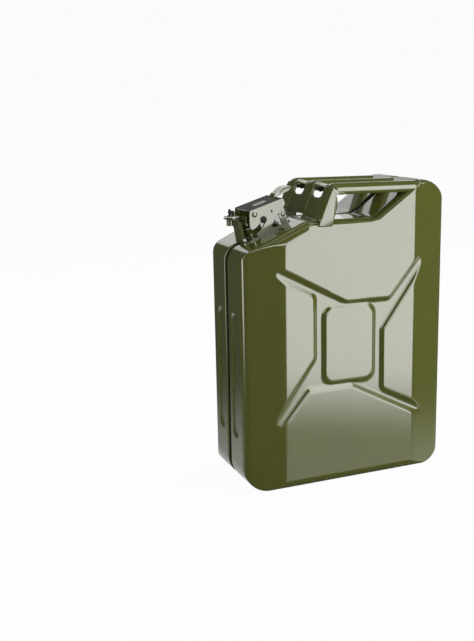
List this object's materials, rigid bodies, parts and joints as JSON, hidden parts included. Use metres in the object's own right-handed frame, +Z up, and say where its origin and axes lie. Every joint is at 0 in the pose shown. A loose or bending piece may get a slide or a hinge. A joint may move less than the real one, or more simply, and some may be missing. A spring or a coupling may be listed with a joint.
{
  "type": "jerry can",
  "caption": "Flat-sided pressed steel fuel can with three parallel carrying handles, a sloped shoulder and a cam-lever hinged cap on a short filler neck.",
  "frame": {"origin": "middle of the base, on the ground", "axes": "+Z up; X across the can with the filler neck at -X; Y through its depth, front panel at -Y"},
  "size_m": [0.345, 0.165, 0.467],
  "materials": {
    "olive_paint": "gloss olive green enamel",
    "black_steel": "black oxide",
    "seal_rubber": "matt",
    "plated_steel": "dull plated"
  },
  "bodies": {
    "can": {"body_half_front": "olive_paint", "body_half_back": "olive_paint", "seam_weld": "olive_paint", "filler_neck": "olive_paint", "neck_weld": "olive_paint", "neck_yoke": "olive_paint", "neck_lug_front": "plated_steel", "neck_lug_back": "plated_steel", "hinge_pin": "plated_steel", "vent_tube": "plated_steel", "front_strap": "olive_paint", "strap_ferrule": "olive_paint", "handle_front": "olive_paint", "handle_middle": "olive_paint", "handle_back": "olive_paint", "handle_bracket": "olive_paint", "bracket_weld_front": "olive_paint", "bracket_weld_back": "olive_paint"},
    "cap": {"cap_carrier": "olive_paint", "cap_cup": "olive_paint", "cap_gasket": "seal_rubber", "cap_spring": "plated_steel", "cap_rivet": "plated_steel", "pin_guard": "olive_paint", "lever_rivet_front": "plated_steel", "lever_rivet_back": "plated_steel"},
    "lever": {"lever": "olive_paint"},
    "locking_pin": {"locking_pin": "black_steel"}
  },
  "joints": [
    {"name": "cap_hinge", "type": "hinge", "parent": "can", "child": "cap", "pos_m": [-0.08989, 0, 0.41904], "axis": [0, 1, 0], "range_deg": [0, 42]},
    {"name": "lever_pivot", "type": "hinge", "parent": "cap", "child": "lever", "pos_m": [-0.13651, 0, 0.42054], "axis": [0, -1, 0], "range_deg": [0, 105]},
    {"name": "locking_pin_lift", "type": "slide", "parent": "cap", "child": "locking_pin", "axis": [0, 0, 1], "range_m": [0, 0.012]}
  ],
  "couplings": [
    {"joint": "lever_pivot", "follows": "cap_hinge", "ratio": 2.5}
  ]
}
